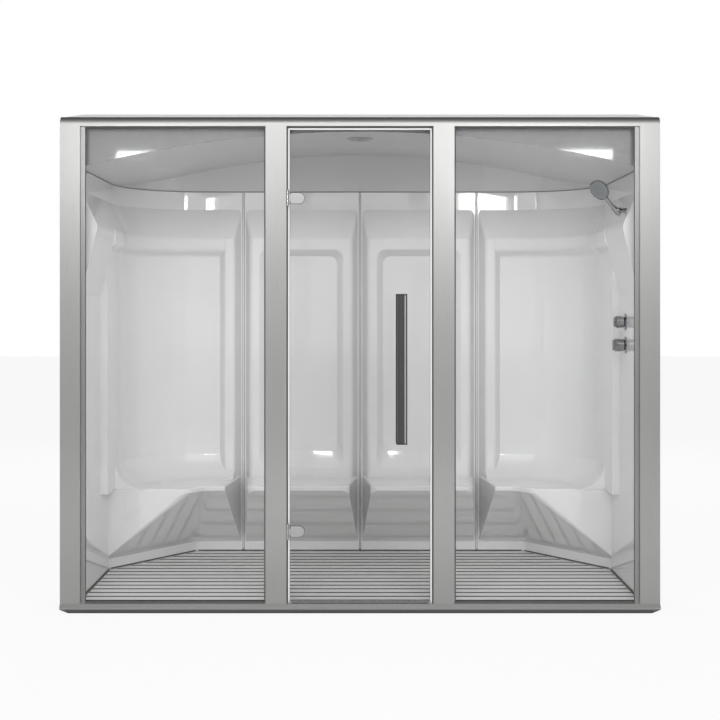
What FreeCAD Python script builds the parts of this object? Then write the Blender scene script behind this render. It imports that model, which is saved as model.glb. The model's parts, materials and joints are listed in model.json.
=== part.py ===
import FreeCAD, Part
import math
import os
from types import SimpleNamespace

import Sketcher

# Prefabricated steam room: moulded wall modules with seats, a vaulted ceiling,
# a slatted floor and an aluminium glass front with one outward opening door.
# Frame: X to the right, Y from the front to the rear, Z up. The origin is on the
# floor below the middle of the room. Depths are measured from the front of the posts.

sizes = {
    # whole room
    "room_width": 2630,
    "room_depth": 1240,
    "wall_setback": 71,
    "wall_drop": 176,
    "cut_overrun": 20,
    "running_clearance": 0.3,
    # aluminium front
    "frame_depth": 60,
    "end_post_width": 88,
    "door_post_width": 92,
    "door_opening": 644,
    "sill_height": 47,
    "sill_nose_reach": 14,
    "sill_nose_height": 31,
    "sill_toe_height": 22,
    "sill_toe_setback": 24,
    "sill_end_bevel": 30,
    "post_top": 2140,
    "header_height": 44,
    "header_round": 36,
    "profile_wall": 3,
    "channel_width": 20,
    "channel_wall": 2.5,
    # glazing
    "glass_thick": 8,
    "fixed_glass_depth": 20,
    "gasket_lip": 4,
    "gasket_reveal": 7,
    "gasket_seat": 3,
    # moulded wall modules
    "shell_thick": 6,
    "flange_reach": 30,
    "joint_gasket": 2,
    "corner_base": 109,
    "shoulder_reach": 75,
    "shoulder_drop": 96,
    "shoulder_fall": 158,
    "shoulder_round": 28,
    "shoulder_tip_inset": 42,
    "seam_inset": 12,
    "recess_margin": 89,
    "recess_depth": 40,
    "recess_taper": 31,
    "recess_gap": 56,
    "recess_lip_round": 12,
    "recess_drop": 34,
    "recess_foot": 25,
    "recess_cove": 110,
    "recess_corner_radius": 60,
    "seat_height": 450,
    "seat_depth": 410,
    "seat_edge": 22,
    "seat_round": 9,
    "seat_corner_round": 45,
    "seat_front_inset": 55,
    "skirting_top": 99,
    # corner bench and side walls
    "bench_lead": 100,
    "bench_end_reach": 232,
    "bench_round": 60,
    "corner_foot_reach": 251,
    "corner_toe": 24,
    "corner_toe_round": 8,
    "rest_cove": 150,
    "pilaster_round": 18,
    "hood_round": 40,
    "hood_cove": 25,
    "side_pad_front": 100,
    "side_pad_gap": 185,
    "side_pad_fade": 310,
    "side_pad_round": 60,
    "end_panel_margin": 84,
    "end_panel_width": 170,
    "end_panel_top": 440,
    "end_panel_foot": 292,
    "end_panel_relief": 5,
    # ceiling
    "vault_rise": 198,
    "fascia_rise": 158,
    "fascia_lift": 48,
    "fascia_end_gap": 10,
    "roof_lip_height": 12,
    "roof_lip_bevel": 80,
    "clip_length": 60,
    "clip_wall": 2,
    "clip_grip": 18,
    # floor
    "tray_height": 20,
    "pan_depth": 10,
    "pan_inset": 6,
    "slat_height": 18,
    "slat_gap": 10,
    "floor_top": 48,
    "grate_split": 402,
    "grate_clearance": 3,
    "bearer_width": 34,
    "bearer_inset": 70,
    "drain_depth": 420,
    "drain_radius": 40,
    "drain_bore": 25,
    "drain_flange": 58,
    "drain_flange_thick": 3,
    "drain_grid_radius": 46,
    "drain_grid_thick": 4,
    "drain_slot_width": 7,
    # door
    "door_gap": 7,
    "door_glass_depth": 10,
    "door_foot_gap": 9,
    "seal_width": 11,
    "seal_depth": 9,
    "sweep_height": 13,
    "sweep_wall": 1.5,
    "sweep_floor_gap": 1.5,
    "sweep_end_gap": 14,
    "hinge_inset": 316,
    "hinge_axis_depth": 7,
    "hinge_axis_gap": 5,
    "knuckle_radius": 6.5,
    "knuckle_height": 68,
    "knuckle_middle": 30,
    "pin_radius": 3,
    "pin_end": 2,
    "leaf_thick": 3,
    "leaf_depth": 17,
    "hinge_plate_height": 47,
    "hinge_plate_reach": 73,
    "hinge_plate_thick": 7,
    "hinge_web": 13,
    "handle_left": 158,
    "handle_width": 48,
    "handle_foot": 747,
    "handle_top": 1404,
    "handle_thick": 14,
    "handle_bevel": 13,
    "handle_bevel_depth": 8,
    "handle_groove": 6,
    "handle_groove_depth": 3,
    "handle_strip": 7,
    "handle_standoff": 30,
    "standoff_radius": 9,
    "standoff_neck": 6,
    "standoff_inset": 62,
    # light
    "light_depth": 564,
    "light_radius": 62,
    "light_bezel_height": 6,
    "light_lens_radius": 48,
    "light_can_radius": 44,
    "light_can_height": 36,
    "light_crown_gap": 0.6,
    "light_dome": 5,
    # steam inlet
    "steam_offset": 440,
    "steam_height": 250,
    "steam_plate_radius": 36,
    "steam_plate_thick": 6,
    "steam_nose_radius": 17,
    "steam_nose_length": 20,
    "steam_pipe_radius": 11,
    "steam_pipe_bore": 9.5,
    "steam_pipe_end": 20,
    "steam_collar_radius": 16,
    "steam_collar_length": 8,
    "steam_collar_setback": 40,
    # shower fittings
    "valve_setback": 132,
    "valve_drop": 794,
    "valve_spacing": 108,
    "rosette_radius": 40,
    "rosette_thick": 6,
    "flow_knob_radius": 26,
    "flow_knob_length": 45,
    "temperature_knob_radius": 28,
    "temperature_knob_length": 50,
    "knob_round": 5,
    "knob_wing": 5,
    "stem_radius": 6,
    "stem_length": 30,
    "mixer_radius": 19,
    "mixer_reach": 42,
    "inlet_radius": 7.5,
    "inlet_length": 28,
    "inlet_collar": 10,
    "inlet_collar_length": 12,
    "bracket_setback": 90,
    "bracket_drop": 82,
    "bracket_reach": 62,
    "arm_radius": 9,
    "swivel_radius": 13,
    "swivel_length": 22,
    "spigot_length": 5,
    "socket_length": 36,
    "shower_handle_foot": 28,
    "shower_handle_length": 118,
    "shower_handle_radius": 9,
    "shower_head_radius": 49,
    "shower_head_thick": 14,
    "spray_plate_radius": 43,
    "spray_plate_thick": 3,
    "riser_radius": 7.5,
    "riser_bend": 40,
}

slat_count = 15
clips_per_seam = 4
shower_lean_angle = 50
shower_face_angle = 35

doc = FreeCAD.newDocument("steam_room")
sheet = doc.addObject("Spreadsheet::Sheet", "sizes")
for row, (alias, number) in enumerate(sizes.items(), start=1):
    sheet.set(f"A{row}", alias)
    sheet.set(f"B{row}", str(number))
    sheet.setAlias(f"B{row}", alias)
doc.recompute()


class Length:
    """A size with its present value and the expression that binds it to the sheet."""

    def __init__(self, value, text):
        self.value = float(value)
        self.text = text

    def join(self, other, sign, swap=False):
        other = other if isinstance(other, Length) else Length(other, repr(other))
        first, second = (other, self) if swap else (self, other)
        value = {
            "+": lambda a, b: a + b,
            "-": lambda a, b: a - b,
            "*": lambda a, b: a * b,
            "/": lambda a, b: a / b,
        }[sign](first.value, second.value)
        return Length(value, f"({first.text} {sign} {second.text})")

    def __add__(self, other):
        return self.join(other, "+")

    def __radd__(self, other):
        return self.join(other, "+", swap=True)

    def __sub__(self, other):
        return self.join(other, "-")

    def __rsub__(self, other):
        return self.join(other, "-", swap=True)

    def __mul__(self, other):
        return self.join(other, "*")

    def __rmul__(self, other):
        return self.join(other, "*", swap=True)

    def __truediv__(self, other):
        return self.join(other, "/")

    def __neg__(self):
        return Length(-self.value, f"(0 - {self.text})")

    def __float__(self):
        return self.value


def root(square):
    return Length(math.sqrt(square.value), f"sqrt({square.text})")


s = SimpleNamespace(**{name: Length(sheet.get(name), f"sizes.{name}") for name in sizes})
zero = Length(0, "0")
over = s.cut_overrun
nodes = []


def at(depth):
    """Y of a depth measured from the front face of the posts."""
    return depth - s.room_depth / 2


def bind(thing, **properties):
    for name, length in properties.items():
        thing.setExpression(name.replace("__", "."), length.text)


def place(thing, x=zero, y=zero, z=zero):
    bind(thing, Placement__Base__x=x, Placement__Base__y=y, Placement__Base__z=z)
    return thing


def keep(thing, label):
    """Mark a finished piece: its label is the name of its file."""
    thing.Label = label
    nodes.append(thing)
    return thing


def box(x, y, z):
    solid = doc.addObject("Part::Box", "block")
    bind(solid, Length=x[1] - x[0], Width=y[1] - y[0], Height=z[1] - z[0])
    return place(solid, x[0], y[0], z[0])


def wedge(front_y, front_x, front_z, rear_y, rear_x, rear_z):
    """A block whose section changes evenly from its front to its rear face."""
    solid = doc.addObject("Part::Wedge", "wedge")
    bind(solid, Ymin=front_y, Xmin=front_x[0], Xmax=front_x[1], Zmin=front_z[0], Zmax=front_z[1])
    bind(solid, Ymax=rear_y, X2min=rear_x[0], X2max=rear_x[1], Z2min=rear_z[0], Z2max=rear_z[1])
    return solid


turns = {
    "x": FreeCAD.Rotation(FreeCAD.Vector(0, 1, 0), 90),
    "y": FreeCAD.Rotation(FreeCAD.Vector(1, 0, 0), -90),
    "z": FreeCAD.Rotation(),
}


def rod(axis, radius, length, x=zero, y=zero, z=zero):
    """A cylinder that runs from its foot along +X, +Y or +Z."""
    solid = doc.addObject("Part::Cylinder", "rod")
    solid.Placement = FreeCAD.Placement(FreeCAD.Vector(), turns[axis])
    bind(solid, Radius=radius, Height=length)
    return place(solid, x, y, z)


def cut(base, *tools):
    result = doc.addObject("Part::Cut", "cut")
    result.Base = base
    result.Tool = tools[0] if len(tools) == 1 else fuse(*tools)
    return result


def fuse(*shapes):
    result = doc.addObject("Part::MultiFuse", "union")
    result.Shapes = list(shapes)
    return result


def common(first, second):
    result = doc.addObject("Part::Common", "overlap")
    result.Base = first
    result.Tool = second
    return result


def group(shapes):
    result = doc.addObject("Part::Compound", "set")
    result.Links = list(shapes)
    return result


def mirror(source):
    result = doc.addObject("Part::Mirroring", "mirrored")
    result.Source = source
    result.Normal = FreeCAD.Vector(1, 0, 0)
    return result


def rounded(base, radius, test):
    """Round the edges that the test picks by their bounding box."""
    doc.recompute()
    picked = [i for i, edge in enumerate(base.Shape.Edges, start=1) if test(edge.BoundBox)]
    result = doc.addObject("Part::Fillet", "rounded")
    result.Base = base
    result.Edges = [(index, radius.value, radius.value) for index in picked]
    return result


def soften(points, radii):
    """Turn chosen corners of an outline into arcs."""
    result = []
    for index, point in enumerate(points):
        if index not in radii:
            result.append(point)
            continue
        radius = radii[index]
        places = [points[index - 1], point, points[(index + 1) % len(points)]]
        before, here, after = [FreeCAD.Vector(float(place[0]), float(place[1]), 0) for place in places]
        back = (before - here).normalize()
        ahead = (after - here).normalize()
        reach = radius / math.tan(back.getAngle(ahead) / 2)
        turn = 1 if back.cross(ahead).z < 0 else -1
        result.append((point[0] + reach * back.x, point[1] + reach * back.y, radius, turn))
        result.append((point[0] + reach * ahead.x, point[1] + reach * ahead.y))
    return result


def draw(sketch, points):
    """Lines, or arcs where a point also has a radius and a turn (1 left, -1 right)."""
    count = len(points)
    ends = []
    for index, point in enumerate(points):
        here = FreeCAD.Vector(float(point[0]), float(point[1]), 0)
        after = points[(index + 1) % count]
        there = FreeCAD.Vector(float(after[0]), float(after[1]), 0)
        if len(point) == 2:
            sketch.addGeometry(Part.LineSegment(here, there))
            ends.append((1, 2))
            continue
        radius, turn = float(point[2]), point[3]
        chord = there - here
        left = FreeCAD.Vector(-chord.y, chord.x, 0) / chord.Length
        rise = math.sqrt(radius**2 - (chord.Length / 2) ** 2)
        centre = (here + there) / 2 + left * rise * turn
        angles = [math.atan2(p.y - centre.y, p.x - centre.x) for p in (here, there)]
        circle = Part.Circle(centre, FreeCAD.Vector(0, 0, 1), radius)
        sketch.addGeometry(Part.ArcOfCircle(circle, *angles[::turn]))
        ends.append((1, 2)[::turn])
    for index in range(count):
        after = (index + 1) % count
        tips = (index, ends[index][1], after, ends[after][0])
        sketch.addConstraint(Sketcher.Constraint("Coincident", *tips))
    for index, point in enumerate(points):
        for kind, length in zip(("DistanceX", "DistanceY"), point):
            rule = Sketcher.Constraint(kind, -1, 1, index, ends[index][0], float(length))
            sketch.setExpression(f"Constraints[{sketch.addConstraint(rule)}]", length.text)
        if len(point) > 2:
            rule = Sketcher.Constraint("Radius", index, float(point[2]))
            sketch.setExpression(f"Constraints[{sketch.addConstraint(rule)}]", point[2].text)


def sketch_on(body, plane, shift, points):
    """A closed outline on one of the body's own planes, moved along +X, +Y or +Z."""
    sketch = body.newObject("Sketcher::SketchObject", "outline")
    planes = {feature.Role: feature for feature in body.Origin.OriginFeatures}
    sketch.AttachmentSupport = [(planes[f"{plane}_Plane"], "")]
    sketch.MapMode = "FlatFace"
    draw(sketch, points)
    bind(sketch, AttachmentOffset__Base__z=-shift if plane == "XZ" else shift)
    return sketch


def pad(plane, points, start, stop):
    """An outline on XY, XZ or YZ, drawn out along Z, Y or X from start to stop."""
    body = doc.addObject("PartDesign::Body", "body")
    feature = body.newObject("PartDesign::Pad", "pad")
    feature.Profile = sketch_on(body, plane, start, points)
    feature.Reversed = plane == "XZ"
    bind(feature, Length=stop - start)
    return body


def turned(points, angle=360):
    """A section of radius and height, turned about +Z."""
    body = doc.addObject("PartDesign::Body", "body")
    sketch = sketch_on(body, "XZ", zero, points)
    feature = body.newObject("PartDesign::Revolution", "revolution")
    feature.Profile = sketch
    feature.ReferenceAxis = (sketch, ["V_Axis"])
    feature.Angle = angle
    return body


def lofted(low, low_points, high, high_points):
    """A straight-sided solid between two outlines at different heights."""
    body = doc.addObject("PartDesign::Body", "body")
    feature = body.newObject("PartDesign::AdditiveLoft", "loft")
    feature.Profile = sketch_on(body, "XY", low, low_points)
    feature.Sections = [sketch_on(body, "XY", high, high_points)]
    feature.Ruled = True
    return body


def set_on(body, x, y, z, rotation=FreeCAD.Rotation()):
    body.Placement = FreeCAD.Placement(FreeCAD.Vector(), rotation)
    return place(body, x, y, z)


def rectangle(u, v):
    return [(u[0], v[0]), (u[1], v[0]), (u[1], v[1]), (u[0], v[1])]


# Shared places
half_room = s.room_width / 2
wall_x = half_room - s.wall_setback
wall_depth = s.room_depth - s.flange_reach
wall_top = s.post_top - s.wall_drop
module_width = wall_x / 2
corner_radius = module_width / 2 + s.corner_base
corner_depth = wall_depth - corner_radius
door_half = s.door_opening / 2
frame_rear = s.frame_depth
shoulder_top = wall_top - s.shoulder_drop
shoulder_height = shoulder_top - s.shoulder_fall
recess_top = shoulder_height - s.recess_gap
seat_front = wall_depth - s.seat_depth
bench_end = seat_front - s.bench_lead
bench_end_half = module_width + s.bench_end_reach
corner_foot_half = module_width + s.corner_foot_reach
side_pad_rear = bench_end - s.side_pad_gap
side_pad_low = shoulder_height - s.side_pad_fade


# Aluminium front
def post(x):
    """A hollow post between the sill and the header."""
    z = (s.sill_height, s.post_top)
    outer = box(x, (at(zero), at(frame_rear)), z)
    wall = s.profile_wall
    core = box((x[0] + wall, x[1] - wall), (at(wall), at(frame_rear - wall)), (z[0] - over, z[1] + over))
    return cut(outer, core)


left_end = (-half_room, s.end_post_width - half_room)
left_jamb = (-door_half - s.door_post_width, -door_half)
end_post = keep(post(left_end), "left_end_post")
keep(mirror(end_post), "right_end_post")
jamb_post = keep(post(left_jamb), "hinge_post")
keep(mirror(jamb_post), "latch_post")


def header():
    top = s.post_top + s.header_height
    section = [
        (at(zero), s.post_top),
        (at(frame_rear), s.post_top),
        (at(frame_rear), top),
        (at(s.header_round), top, s.header_round, 1),
        (at(zero), top - s.header_round),
    ]
    rail = pad("YZ", section, -half_room, half_room)
    wall = s.profile_wall
    low = s.post_top + wall
    core = box(
        (-half_room - over, half_room + over),
        (at(s.header_round / 2), at(frame_rear - wall)),
        (low, top - wall * 2),
    )
    return cut(rail, core)


def sill():
    section = [
        (at(frame_rear), zero),
        (at(frame_rear), s.sill_height),
        (at(zero), s.sill_height),
        (at(-s.sill_nose_reach), s.sill_nose_height),
        (at(-s.sill_nose_reach / 2), s.sill_toe_height),
        (at(s.sill_toe_setback), zero),
    ]
    rail = pad("YZ", section, -half_room, half_room)
    bevel = s.sill_end_bevel
    corner = [
        (-half_room - over, -over),
        (bevel - half_room + over * bevel / s.sill_toe_height, -over),
        (-half_room, s.sill_toe_height),
        (-half_room - over, s.sill_toe_height),
    ]
    tool = pad("XZ", corner, at(-s.sill_nose_reach - over), at(frame_rear + over))
    return cut(rail, tool, mirror(tool))


keep(header(), "header_rail")
keep(sill(), "sill_rail")


# Fixed glazing: a channel on the end post, a gasket frame and a pane
glass_y = (at(s.fixed_glass_depth), at(s.fixed_glass_depth + s.glass_thick))
gasket_y = (glass_y[0] - s.gasket_lip, glass_y[1] + s.gasket_lip)
bay_z = (s.sill_height, s.post_top)
channel_x = (left_end[1], left_end[1] + s.channel_width)


def wall_channel():
    wall = s.channel_wall
    outer = box(channel_x, (gasket_y[0] - wall, gasket_y[1] + wall), bay_z)
    slot_z = (bay_z[0] - over, bay_z[1] + over)
    slot = box((channel_x[0] + wall, channel_x[1] + over), gasket_y, slot_z)
    return cut(outer, slot)


def glazing():
    """The gasket frame of the left bay and the pane that it holds."""
    outer_x = (channel_x[0] + s.channel_wall, left_jamb[0])
    seat = s.gasket_seat
    reveal = s.gasket_reveal
    pane_x = (outer_x[0] + seat, outer_x[1] - seat)
    pane_z = (bay_z[0] + seat, bay_z[1] - seat)
    pane = box(pane_x, glass_y, pane_z)
    window_x = (channel_x[1], outer_x[1] - reveal)
    window_z = (bay_z[0] + reveal, bay_z[1] - reveal)
    window = box(window_x, (gasket_y[0] - over, gasket_y[1] + over), window_z)
    frame = cut(box(outer_x, gasket_y, bay_z), window, box(pane_x, glass_y, pane_z))
    return frame, pane


channel = keep(wall_channel(), "left_wall_channel")
keep(mirror(channel), "right_wall_channel")
gasket, pane = glazing()
keep(gasket, "left_glazing_gasket")
keep(mirror(gasket), "right_glazing_gasket")
keep(pane, "left_fixed_glass")
keep(mirror(pane), "right_fixed_glass")


# Moulded wall modules: a room-side form less the same form set back by the wall
module_z = (s.tray_height, wall_top)


touch = s.running_clearance.value


def seat_block(x, inset):
    """Seat between two seams: level top, narrow nose, riser that slopes back to the skirting."""
    rear = wall_depth if inset is zero else s.room_depth + over
    spread = (s.seat_front_inset - s.seam_inset) / s.seat_depth
    slope = (s.seat_height - s.seat_edge - s.skirting_top) / s.seat_depth
    front_y = seat_front + inset * 2
    side = [s.seat_front_inset + inset, s.seam_inset + inset - (rear - wall_depth) * spread]
    low = [
        s.seat_height - s.seat_edge + inset / 2,
        s.skirting_top + inset - (rear - wall_depth) * slope,
    ]
    top = s.seat_height - inset
    block = wedge(
        at(front_y), (x[0] + side[0], x[1] - side[0]), (low[0], top),
        at(rear), (x[0] + side[1], x[1] - side[1]), (low[1], top),
    )
    nose = at(front_y).value
    corners = rounded(
        block,
        s.seat_corner_round - inset,
        lambda edge: edge.YMax < nose + touch and edge.XLength < touch,
    )
    wall = at(rear).value
    return rounded(
        corners,
        s.seat_round - inset / 2,
        lambda edge: edge.ZMin > top.value - touch and edge.YMin < wall - touch,
    )


def shoulder_block(x, inset):
    """The raised back frame of a module, with a sloping top and tapered sides."""
    rear = wall_depth if inset is zero else s.room_depth + over
    front = wall_depth - s.shoulder_reach + inset
    lean = (shoulder_top - shoulder_height) / s.shoulder_reach
    spread = (s.shoulder_tip_inset - s.seam_inset) / s.shoulder_reach
    tip = s.shoulder_tip_inset + inset - inset * spread
    root_side = s.seam_inset + inset - (rear - wall_depth) * spread
    foot = s.seat_height - inset * 2
    crest = shoulder_top - inset + (rear - wall_depth) * lean
    block = wedge(
        at(front), (x[0] + tip, x[1] - tip), (foot, shoulder_height - inset + inset * lean / 2),
        at(rear), (x[0] + root_side, x[1] - root_side), (foot, crest),
    )
    wall = at(rear).value - touch
    low = foot.value + touch
    return rounded(block, s.shoulder_round - inset, lambda edge: edge.YMin < wall and edge.ZMax > low)


def back_recess(x, inset):
    """The dished back rest that is cut into the shoulder block."""
    depth = s.recess_depth + inset
    ahead = over / s.recess_depth
    face = wall_depth - s.shoulder_reach
    margin = s.recess_margin - inset
    foot = s.seat_height + s.recess_foot - inset
    mouth = (margin - s.recess_taper * ahead, foot - s.recess_cove * ahead / 4)
    top = recess_top + inset
    return rounded(
        wedge(
            at(face - over), (x[0] + mouth[0], x[1] - mouth[0]), (mouth[1], top + s.recess_drop * ahead),
            at(face + depth), (x[0] + margin + s.recess_taper, x[1] - margin - s.recess_taper),
            (foot + s.recess_cove, top - s.recess_drop),
        ),
        s.recess_corner_radius,
        lambda edge: edge.YLength > s.recess_depth.value,
    )


def rear_module(x):
    """A straight module between two seams."""
    wall = s.shell_thick
    slab = box(x, (at(wall_depth), at(s.room_depth)), module_z)
    dished = cut(fuse(slab, shoulder_block(x, zero), seat_block(x, zero)), back_recess(x, zero))
    face = at(wall_depth - s.shoulder_reach).value
    left = (x[0] + s.recess_margin).value - touch
    low = s.seat_height.value + touch
    high = recess_top.value + touch
    form = rounded(
        dished,
        s.recess_lip_round,
        lambda edge: abs(edge.YMin - face) + edge.YLength < touch
        and edge.XMin > left
        and low < edge.ZMin
        and edge.ZMax < high,
    )
    pocket = box(
        (x[0] + wall, x[1] - wall),
        (at(wall_depth + wall), at(s.room_depth + over)),
        (module_z[0] + wall, module_z[1] - wall),
    )
    hollow = cut(fuse(pocket, shoulder_block(x, wall), seat_block(x, wall)), back_recess(x, wall))
    return cut(form, hollow)


seam = s.joint_gasket / 2
left_rear = rear_module((seam - module_width, -seam))
keep(left_rear, "rear_left_module")


def back_section(inset, foot):
    """Back rest of the corner as reach into the room and height, under a projecting hood."""
    rear = -s.flange_reach if inset is zero else -s.flange_reach - over
    rest = s.shoulder_reach - s.recess_depth - inset
    hood = s.shoulder_reach - inset
    return [
        (rear, module_z[0] + inset),
        (-inset, module_z[0] + inset),
        (-inset, foot),
        (rest, foot),
        (rest, recess_top - s.recess_drop + inset / 2),
        (hood, recess_top + inset / 2),
        (hood, shoulder_height - inset / 2),
        (-inset, shoulder_top - inset / 2),
        (-inset, module_z[1] - inset),
        (rear, module_z[1] - inset),
    ]


def side_pad_section(inset):
    """The pad on the side wall, which fades out downwards."""
    rear = -s.flange_reach
    return [
        (rear, side_pad_low),
        (-inset, side_pad_low),
        (s.shoulder_reach - inset, shoulder_height),
        (-inset, shoulder_top),
        (rear, shoulder_top),
    ]


seam_x = -module_width - seam


def on_side(section):
    return [(reach - wall_x, height) for reach, height in section]


def on_rear(section):
    return [(at(wall_depth - reach), height) for reach, height in section]


def hooded(section, inset):
    """Round the hood of the back rest and the cove below it."""
    return soften(section, {4: s.hood_cove + inset, 5: s.hood_round - inset, 6: s.hood_round - inset})


def cove_section(inset):
    """Concave strip where the back rest of the corner runs out onto the bench."""
    rest = s.shoulder_reach - s.recess_depth
    bite = s.shell_thick / 3
    return [
        (rest - inset - bite, s.seat_height - inset - bite),
        (rest + s.rest_cove, s.seat_height - inset - bite),
        (rest - inset, s.seat_height - inset),
        (rest - inset - bite, s.seat_height + s.rest_cove),
    ]


def coved(section, inset):
    return soften(section, {2: s.rest_cove - s.shell_thick + inset})


def around_corner(section):
    """A section of reach and height, swept round the rear corner of the room."""
    quarter = FreeCAD.Rotation(FreeCAD.Vector(0, 0, 1), 90)
    return set_on(turned(section, 90), corner_radius - wall_x, at(corner_depth), zero, quarter)


def in_corner(section):
    return [(corner_radius - reach, height) for reach, height in section]


def rest_foot(inset):
    """The cove along the side wall, round the corner and along the rear wall."""
    section = cove_section(inset)
    seam_end = seam_x - s.shoulder_tip_inset - inset
    return [
        pad("XZ", coved(on_side(section), inset), at(bench_end + inset), at(corner_depth)),
        around_corner(coved(in_corner(section), inset)),
        pad("YZ", coved(on_rear(section), inset), corner_radius - wall_x, seam_end),
    ]


def corner_back(inset):
    """Side wall, rounded corner and rear wall of the left corner module."""
    bench = bench_end + inset
    ledge = back_section(inset, s.seat_height + inset)
    section = back_section(inset, s.seat_height - inset * 2)
    overhang = pad("XZ", hooded(on_side(ledge), inset), at(side_pad_rear + inset), at(bench))
    side = pad("XZ", hooded(on_side(section), inset), at(bench), at(corner_depth))
    around = around_corner(hooded(in_corner(section), inset))
    rear = pad("YZ", hooded(on_rear(section), inset), corner_radius - wall_x, seam_x - s.recess_margin)
    bulge = (at(s.side_pad_front + inset), at(side_pad_rear - inset))
    cushion = pad("XZ", soften(on_side(side_pad_section(inset)), {2: s.side_pad_round - inset}), *bulge)
    return [overhang, side, around, rear, cushion]


def corner_slabs(inset):
    """Plain wall behind the back rest, from the end post round to the seam."""
    rear = s.flange_reach if inset is zero else s.flange_reach + over
    z = (module_z[0] + inset, module_z[1] - inset)
    side = box((-wall_x - rear, -wall_x - inset), (at(frame_rear + inset), at(corner_depth)), z)
    back = box((corner_radius - wall_x, seam_x - inset), (at(wall_depth + inset), at(wall_depth + rear)), z)
    return [side, back]


def corner_pilaster(inset):
    """The raised strip between the corner back rest and the seam."""
    rear = wall_depth if inset is zero else s.room_depth + over
    front = wall_depth - s.shoulder_reach + inset
    flare = s.recess_taper * s.shoulder_reach / s.recess_depth
    lean = (shoulder_top - shoulder_height) / s.shoulder_reach
    foot = s.seat_height - inset * 2
    tip_x = (seam_x - s.recess_margin + inset, seam_x - s.shoulder_tip_inset - inset / 2)
    root_x = (seam_x - s.recess_margin - flare + inset, seam_x - s.seam_inset - inset)
    crest = shoulder_top - inset + (rear - wall_depth) * lean
    block = wedge(
        at(front), tip_x, (foot, shoulder_height - inset + inset * lean / 2),
        at(rear), root_x, (foot, crest),
    )
    wall = at(rear).value - touch
    low = foot.value + touch
    return rounded(block, s.pilaster_round - inset, lambda edge: edge.YMin < wall and edge.ZMax > low)


def corner_bench(inset):
    """Bench that wraps the corner: level top over a riser that slopes back to the floor."""
    reach = s.flange_reach if inset is zero else s.flange_reach + over
    front = seat_front + inset * 2
    end = bench_end + inset
    toe_depth = wall_depth + inset / 2
    nose_half = bench_end_half + inset * 2
    toe_half = wall_x + s.corner_toe + inset / 2
    foot_half = corner_foot_half + inset
    knee_half = nose_half - (toe_half - foot_half) * (front - end) / (toe_depth - end)
    spread = (s.seat_front_inset - s.seam_inset) / s.seat_depth
    side_x = seam_x - s.seam_inset - inset
    outline = [
        (-wall_x - reach, at(end)),
        (-nose_half, at(end)),
        (-knee_half, at(front)),
        (side_x - (wall_depth - front) * spread, at(front)),
        (side_x + reach * spread, at(wall_depth + reach)),
        (corner_radius - wall_x, at(wall_depth + reach), corner_radius + reach, 1),
        (-wall_x - reach, at(corner_depth)),
    ]
    foot = [
        outline[0],
        (-toe_half, at(end)),
        (-foot_half, at(toe_depth)),
        (side_x + (toe_depth - wall_depth) * spread, at(toe_depth)),
        *outline[4:],
    ]
    bend = {1: s.bench_round - inset, 2: s.bench_round + inset}
    outline = soften(outline, bend)
    foot = soften(foot, {1: s.corner_toe_round, 2: bend[2]})
    nose = s.seat_height - s.seat_edge + inset / 2
    riser_foot = s.skirting_top + inset
    skirting = pad("XY", foot, module_z[0] + inset, riser_foot)
    riser = lofted(riser_foot, foot, nose, outline)
    top = s.seat_height - inset
    wall = touch - wall_x.value
    ahead = at(front).value + touch
    board = rounded(
        pad("XY", outline, nose, top),
        s.seat_round - inset / 2,
        lambda edge: edge.ZMin > top.value - touch and edge.YMin < ahead and edge.XMax > wall,
    )
    return [skirting, riser, board]


def end_panel():
    """Raised triangle on the end of the corner bench that faces the door."""
    outer = s.end_panel_margin - wall_x
    corners = [
        (outer, s.end_panel_top),
        (outer, s.end_panel_foot),
        (outer + s.end_panel_width, s.end_panel_top),
    ]
    return pad("XZ", corners, at(bench_end - s.end_panel_relief), at(bench_end + s.shell_thick))


def corner_module():
    wall = s.shell_thick
    form, hollow = [
        [
            *corner_slabs(inset),
            *corner_back(inset),
            *rest_foot(inset),
            corner_pilaster(inset),
            *corner_bench(inset),
        ]
        for inset in (zero, wall)
    ]
    return cut(fuse(*form, end_panel()), fuse(*hollow))


left_corner = keep(corner_module(), "left_corner_module")

# Seams: a gasket sheet between the flanges of two neighbours
for label, x in (("left", -module_width), ("centre", zero), ("right", module_width)):
    keep(box((x - seam, x + seam), (at(wall_depth), at(s.room_depth)), module_z), f"{label}_seam_gasket")


# Ceiling: a vault over the plan of the walls, on a gasket
ceiling_foot = wall_top + s.joint_gasket
fascia_rear = frame_rear + s.shell_thick
vault_radius = (wall_x * wall_x + s.vault_rise * s.vault_rise) / (s.vault_rise * 2)
vault_crown = wall_top + s.vault_rise


def room_plan(offset, front):
    """Plan of the walls, grown by an offset, with the two rounded rear corners."""
    x = wall_x + offset
    rear = wall_depth + offset
    radius = corner_radius + offset
    inner = wall_x - corner_radius
    return [
        (-x, at(front)),
        (x, at(front)),
        (x, at(corner_depth), radius, 1),
        (inner, at(rear)),
        (-inner, at(rear), radius, 1),
        (-x, at(corner_depth)),
    ]


def vault_form(offset, front, low):
    """Everything below the vault and inside the plan of the walls."""
    x = wall_x + offset
    radius = vault_radius + offset
    spring = vault_crown - vault_radius + root(radius * radius - x * x)
    arch = [(-x, low), (x, low), (x, spring, radius, 1), (-x, spring)]
    plan = pad("XY", room_plan(offset, front), low, vault_crown + over)
    return common(plan, pad("XZ", arch, at(frame_rear - over), at(s.room_depth)))


def plan_ring(outer, front, low, high):
    """A flat band that follows the tops of the walls."""
    band = pad("XY", room_plan(outer, front), low, high)
    return cut(band, pad("XY", room_plan(zero, front - over), low - over, high + over))


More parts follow.
